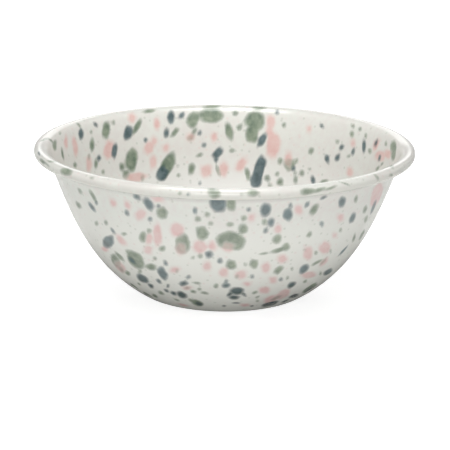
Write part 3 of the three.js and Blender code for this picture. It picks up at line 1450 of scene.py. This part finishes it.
    def thickness(self, bench: NodeBench, where: Sock, foot: Sock) -> Sock:
        """How thick the glazes lie: less on the bead, where they run off, and more near the foot.

        Args:
            bench: The material's nodes.
            where: Object coordinates.
            foot: How near the foot a point is.

        Returns:
            A share of their full cover.
        """
        flatten = {0: where, 1: (1.0, 1.0, 0.0)}
        level = bench.node("ShaderNodeVectorMath", {"operation": "MULTIPLY"}, flatten)
        radius = bench.node("ShaderNodeVectorMath", {"operation": "LENGTH"}, {0: level}, "Value")
        inner, outer = self.bead_span
        bead = bench.fade(radius, outer * MM, inner * MM)
        return self.fullness + (1 - self.fullness) * foot - self.bead_wear * bead

    def mist(self, bench: NodeBench, where: Sock, colour: Sock) -> Sock:
        """Adds the finest specks, of pink and sage, to a colour.

        Args:
            bench: The material's nodes.
            where: Object coordinates.
            colour: The cream.

        Returns:
            The speckled colour.
        """
        inputs = {"Vector": where, "Scale": 1 / (self.mist_pitch * MM)}
        away = bench.node("ShaderNodeTexVoronoi", inputs=inputs, output="Distance")
        pick = bench.node("ShaderNodeTexVoronoi", inputs=inputs, output="Color")
        kind = bench.node("ShaderNodeSeparateColor", inputs={0: pick}, output="Red")
        tint = bench.mix(bench.fade(kind, *self.mist_split), rgba(self.pink.thin), rgba(self.sage.thin))
        return bench.mix(self.mist_cover * bench.fade(away, *self.mist_speck), colour, tint)


@dataclass(frozen=True)
class PlainFinish:
    """A finish that the coats hide: dark bonding enamel or pickled steel.

    Attributes:
        name: The material's name.
        colour: Its linear colour.
        metallic: 1 for metal, 0 for glass.
        roughness: Its mean roughness.
        uneven: How far the roughness varies.
        pitch: Pitch of the clouds in which it does, in millimetres.
    """

    name: str
    colour: Colour
    metallic: float
    roughness: float
    uneven: float = 0.15
    pitch: float = 6.0

    def material(self) -> bpy.types.Material:
        """Makes the material, with a faint cloud in its roughness.

        Returns:
            The material.
        """
        made = bpy.data.materials.new(self.name)
        made.use_nodes = True
        bench = NodeBench(made.node_tree)
        where = bench.node("ShaderNodeTexCoord", output="Object")
        inputs = {
            "Base Color": rgba(self.colour),
            "Metallic": self.metallic,
            "Roughness": self.roughness + self.uneven * bench.noise(where, self.pitch),
        }
        shader = bench.node("ShaderNodeBsdfPrincipled", inputs=inputs)
        bench.node("ShaderNodeOutputMaterial", inputs={"Surface": shader})
        return made


@dataclass(frozen=True)
class Layer:
    """One layer of the bowl: the space between two faces of the section, turned about the axis.

    Attributes:
        name: The piece's name.
        node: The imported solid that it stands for.
        slot: The record's material slot.
        run: How far along the sheet it goes.
        near: Its face on the food side.
        far: Its face on the table side.
        shown: The face that shows, which is made fine, if any does.
        turns: Steps of the turn about the axis.
        hub: Radius of the flat disc in the middle of each face, in millimetres.
        fine_pitch: The longest step along a face that shows, in millimetres.
        plain_pitch: The longest step along a face that doesn't.
        fine_turn: The most that a step may turn on a face that shows, in radians.
        plain_turn: The most that it may turn elsewhere.
        sharp: The angle from which an edge isn't shaded smooth, in radians.
        weld: How near two points are made one, in millimetres.
    """

    name: str
    node: str
    # slot: The record's material slot; not used.
    slot: str
    run: Run
    near: Face
    far: Face
    shown: Union[Face, None] = None
    turns: int = 128
    hub: float = 1.0
    fine_pitch: float = 1.2
    plain_pitch: float = 5.0
    fine_turn: float = math.radians(11)
    plain_turn: float = math.radians(18)
    sharp: float = math.radians(50)
    weld: float = 0.001

    def side(self, section: BowlSection, face: Face, depth: float) -> Array:
        """Sets points along one face, close together where it shows.

        Args:
            section: The bowl's section.
            face: The face.
            depth: How deep it lies, in millimetres.

        Returns:
            The points, as rows of radius and height in millimetres.
        """
        fine = face is self.shown
        pitch = self.fine_pitch if fine else self.plain_pitch
        turn = self.fine_turn if fine else self.plain_turn
        return section.face(self.run, depth, pitch, turn)[0]

    def shell(self, section: BowlSection) -> bmesh.types.BMesh:
        """Turns the layer's outline about the axis into a closed shell.

        Args:
            section: The bowl's section.

        Returns:
            The mesh, in metres.
        """
        depths = section.depths
        seat = depths[self.near] + (section.clearance if self.near is not Face.FOOD else 0.0)
        far_side = self.side(section, self.far, depths[self.far])
        near_side = self.side(section, self.near, seat)
        outline = [*far_side, *near_side[::-1]]
        outline[0][0] = outline[-1][0] = self.hub
        made = bmesh.new()
        corners = [made.verts.new((MM * radius, 0.0, MM * height)) for radius, height in outline]
        edges = [made.edges.new(pair) for pair in zip(corners, corners[1:])]
        spin = {"cent": (0, 0, 0), "axis": (0, 0, 1), "angle": QUARTER_TURN, "steps": self.turns // 4}
        bmesh.ops.spin(made, geom=[*corners, *edges], **spin)
        for turn in (QUARTER_TURN, 2 * QUARTER_TURN):
            copy = bmesh.ops.duplicate(made, geom=[*made.verts, *made.edges, *made.faces])["geom"]
            moved = [item for item in copy if isinstance(item, bmesh.types.BMVert)]
            bmesh.ops.rotate(made, verts=moved, cent=(0, 0, 0), matrix=Matrix.Rotation(turn, 3, "Z"))
        bmesh.ops.remove_doubles(made, verts=made.verts[:], dist=self.weld * MM)
        rims = [edge for edge in made.edges if edge.is_boundary]
        bmesh.ops.holes_fill(made, edges=rims, sides=0)
        bmesh.ops.recalc_face_normals(made, faces=made.faces[:])
        return made

    def piece(self, shell: bmesh.types.BMesh, material: bpy.types.Material) -> bpy.types.Object:
        """Makes the layer's object and hands it to the frame.

        Args:
            shell: The layer's mesh, which is used up.
            material: Its finish.

        Returns:
            The object.
        """
        mesh = bpy.data.meshes.new(self.name)
        shell.to_mesh(mesh)
        shell.free()
        mesh.shade_smooth()
        mesh.set_sharp_from_angle(angle=self.sharp)
        mesh.materials.append(material)
        made = bpy.data.objects.new(self.name, mesh)
        bpy.context.scene.collection.objects.link(made)
        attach(made, BODY)
        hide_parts(self.node)
        return made


@dataclass
class EnamelBowl:
    """The whole bowl: the steel sheet, its bonding coats and its splattered cover coats.

    Attributes:
        section: The bowl's section.
        splatter: The drops of glaze.
        inside: Finish of the inner cover coat.
        outside: Finish of the outer cover coat.
        ground: Finish of both bonding coats.
        metal: Finish of the steel.
        inner_cover: The cream enamel on the food side and over the bead.
        outer_cover: The cream enamel on the outside of the wall and under the foot.
        inner_ground: The bonding coat under the inner enamel.
        outer_ground: The bonding coat under the outer enamel.
        sheet: The steel pressing.
    """

    section: BowlSection
    splatter: Splatter
    # Each cream turns lighter low on the wall as painted light, and darker at its upper edge as painted
    # shade: on the bead's crest inside, under the bead outside.
    inside: SplatteredEnamel = SplatteredEnamel(
        "cream_inside",
        cream=(0.73, 0.735, 0.685),
        shade=(0.715, 0.695, 0.655),
        thick=(0.86, 0.855, 0.825),
        edge_span=(79.2, 80.7),
    )
    outside: SplatteredEnamel = SplatteredEnamel(
        "cream_outside",
        cream=(0.745, 0.76, 0.718),
        shade=(0.735, 0.712, 0.685),
        thick=(0.80, 0.80, 0.76),
        edge_span=(71.0, 73.4),
        fullness=0.87,
        pink=DUSTY_PINK,
        slate=BLUE_SLATE,
        run_span=(44.0, 68.0),
        edge_thin=0.16,
    )
    ground: PlainFinish = PlainFinish("dark_ground_coat", DARK_GROUND, metallic=0.0, roughness=0.35)
    metal: PlainFinish = PlainFinish("pickled_steel", (0.43, 0.44, 0.45), metallic=1.0, roughness=0.5)
    inner_cover: Layer = Layer(
        "inner_enamel", "inner_cover_coat", "cream_enamel", Run.SHEET, Face.FOOD, Face.INNER_BOND,
        shown=Face.FOOD, turns=448,
    )
    outer_cover: Layer = Layer(
        "outer_enamel", "outer_cover_coat", "cream_enamel", Run.WALL, Face.OUTER_BOND, Face.TABLE,
        shown=Face.TABLE, turns=448,
    )
    inner_ground: Layer = Layer(
        "inner_bond", "inner_ground_coat", "ground_enamel", Run.SHEET, Face.INNER_BOND, Face.INNER_METAL
    )
    outer_ground: Layer = Layer(
        "outer_bond", "outer_ground_coat", "ground_enamel", Run.WALL, Face.OUTER_METAL, Face.OUTER_BOND
    )
    sheet: Layer = Layer(
        "steel_sheet", "steel_pressing", "steel", Run.SHEET, Face.INNER_METAL, Face.OUTER_METAL
    )

    def build(self) -> list[bpy.types.Object]:
        """Builds and dresses every layer.

        Returns:
            The pieces: the two cover coats, their bonding coats and the sheet.
        """
        covers = {Face.FOOD: self.inner_cover, Face.TABLE: self.outer_cover}
        finishes = {Face.FOOD: self.inside, Face.TABLE: self.outside}
        shells = {face: layer.shell(self.section) for face, layer in covers.items()}
        self.splatter.lay(shells)
        pieces = []
        for face, layer in covers.items():
            pieces.append(layer.piece(shells[face], finishes[face].material()))
            self.splatter.colour(pieces[-1].data, face)
        bond, metal = self.ground.material(), self.metal.material()
        for layer, finish in ((self.inner_ground, bond), (self.outer_ground, bond), (self.sheet, metal)):
            pieces.append(layer.piece(layer.shell(self.section), finish))
        return pieces


@dataclass(frozen=True)
class SoftLight:
    """A flat soft light that faces the bowl.

    Attributes:
        name: Its name.
        power: Its power, in watts.
        sides: Its width and height, in metres.
        place: Where its middle hangs, in metres.
    """

    name: str
    power: float
    sides: Span
    place: tuple[float, float, float]

    def build(self) -> None:
        """Adds the light to the scene."""
        data = bpy.data.lights.new(self.name, "AREA")
        data.shape = "RECTANGLE"
        data.energy = self.power
        data.size, data.size_y = self.sides
        made = bpy.data.objects.new(self.name, data)
        made.location = self.place
        made.rotation_euler = (-Vector(self.place)).to_track_quat("-Z", "Y").to_euler()
        bpy.context.scene.collection.objects.link(made)


@dataclass(frozen=True)
class Studio:
    """The plain pale floor and the soft light.

    Attributes:
        half_side: Half the side of the floor and of the card, in metres.
        floor_drop: How far the floor lies under the foot, in metres, so that no faces coincide.
        floor_colour: Linear colour of the floor, which only the camera sees.
        floor_glow: Light that the floor gives off, so that it stays pale in the bowl's shadow.
        card_colour: Linear colour of the card under the floor, which lights the bowl from below.
        card_drop: How far the card lies under the foot, in metres.
        matt: Roughness of the floor and the card.
        sky: Light from above.
        horizon: Light from all round.
        sky_span: How high the light is all sky and where it is all horizon, as sines of the angle.
        key: The large light over the bowl.
        fill: The low light in front of it.
        front: The high light in front of it.
        back: The light behind it, which brightens the bead.
    """

    half_side: float = 3.0
    floor_drop: float = 0.0001
    floor_colour: Colour = (0.42, 0.42, 0.42)
    floor_glow: float = 0.86
    card_colour: Colour = (0.745, 0.75, 0.73)
    card_drop: float = 0.0005
    matt: float = 0.9
    sky: float = 0.0
    horizon: float = 0.5
    sky_span: Span = (0.5, 0.0)
    key: SoftLight = SoftLight("soft_key", power=29.8, sides=(1.2, 1.2), place=(-0.1, -0.25, 1.7))
    fill: SoftLight = SoftLight("front_fill", power=18.9, sides=(1.5, 0.6), place=(0.0, -2.4, 0.32))
    front: SoftLight = SoftLight("high_front", power=5.5, sides=(1.6, 1.2), place=(0.0, -1.0, 1.5))
    back: SoftLight = SoftLight("back_light", power=9.0, sides=(1.6, 1.0), place=(0.0, 1.8, 1.0))

    def build(self) -> None:
        """Adds the floor, the card under it, the world and the light."""
        floor = self.sheet("pale_floor", -self.floor_drop, self.floor_colour, self.floor_glow)
        floor.visible_diffuse = False
        floor.visible_glossy = False
        floor.visible_shadow = False
        card = self.sheet("bounce_card", -self.card_drop, self.card_colour, glow=0.0)
        card.visible_camera = False
        self.world()
        for light in (self.key, self.fill, self.front, self.back):
            light.build()
        bpy.context.scene.view_settings.view_transform = "Standard"

    def sheet(self, name: str, height: float, colour: Colour, glow: float) -> bpy.types.Object:
        """Adds a level sheet to the stage.

        Args:
            name: Its name.
            height: Its height, in metres.
            colour: Its linear colour.
            glow: Light that it gives off.

        Returns:
            The sheet.
        """
        grid = bmesh.new()
        bmesh.ops.create_grid(grid, x_segments=1, y_segments=1, size=self.half_side)
        bmesh.ops.translate(grid, verts=grid.verts[:], vec=(0.0, 0.0, height))
        mesh = bpy.data.meshes.new(name)
        grid.to_mesh(mesh)
        grid.free()
        material = bpy.data.materials.new(name)
        material.use_nodes = True
        bench = NodeBench(material.node_tree)
        inputs = {
            "Base Color": rgba(colour),
            "Roughness": self.matt,
            "Emission Color": rgba(WHITE),
            "Emission Strength": glow,
        }
        shader = bench.node("ShaderNodeBsdfPrincipled", inputs=inputs)
        bench.node("ShaderNodeOutputMaterial", inputs={"Surface": shader})
        mesh.materials.append(material)
        made = bpy.data.objects.new(name, mesh)
        bpy.context.scene.collection.objects.link(made)
        return made

    def world(self) -> None:
        """Makes a soft light from all round, which fades upwards from the horizon."""
        world = bpy.data.worlds.new("soft_sky")
        world.use_nodes = True
        bench = NodeBench(world.node_tree)
        way = bench.node("ShaderNodeTexCoord", output="Generated")
        rise = bench.node("ShaderNodeSeparateXYZ", inputs={0: way}, output="Z")
        light = self.horizon + (self.sky - self.horizon) * bench.fade(rise, *self.sky_span)
        background = bench.node("ShaderNodeBackground", inputs={"Color": rgba(WHITE), "Strength": light})
        bench.node("ShaderNodeOutputWorld", inputs={"Surface": background})
        bpy.context.scene.world = world


def main() -> None:
    """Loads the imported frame, builds the bowl, the stage and the camera, and notes the sizes."""
    logging.basicConfig(level=logging.INFO, format="%(name)s: %(message)s")
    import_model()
    view = PhotoView()
    view.build()
    section = BowlSection()
    bowl = EnamelBowl(section, Splatter(section, view))
    for piece in bowl.build():
        LOG.info("%s: %d faces", piece.name, len(piece.data.polygons))
    Studio().build()


if __name__ == "__main__":
    main()
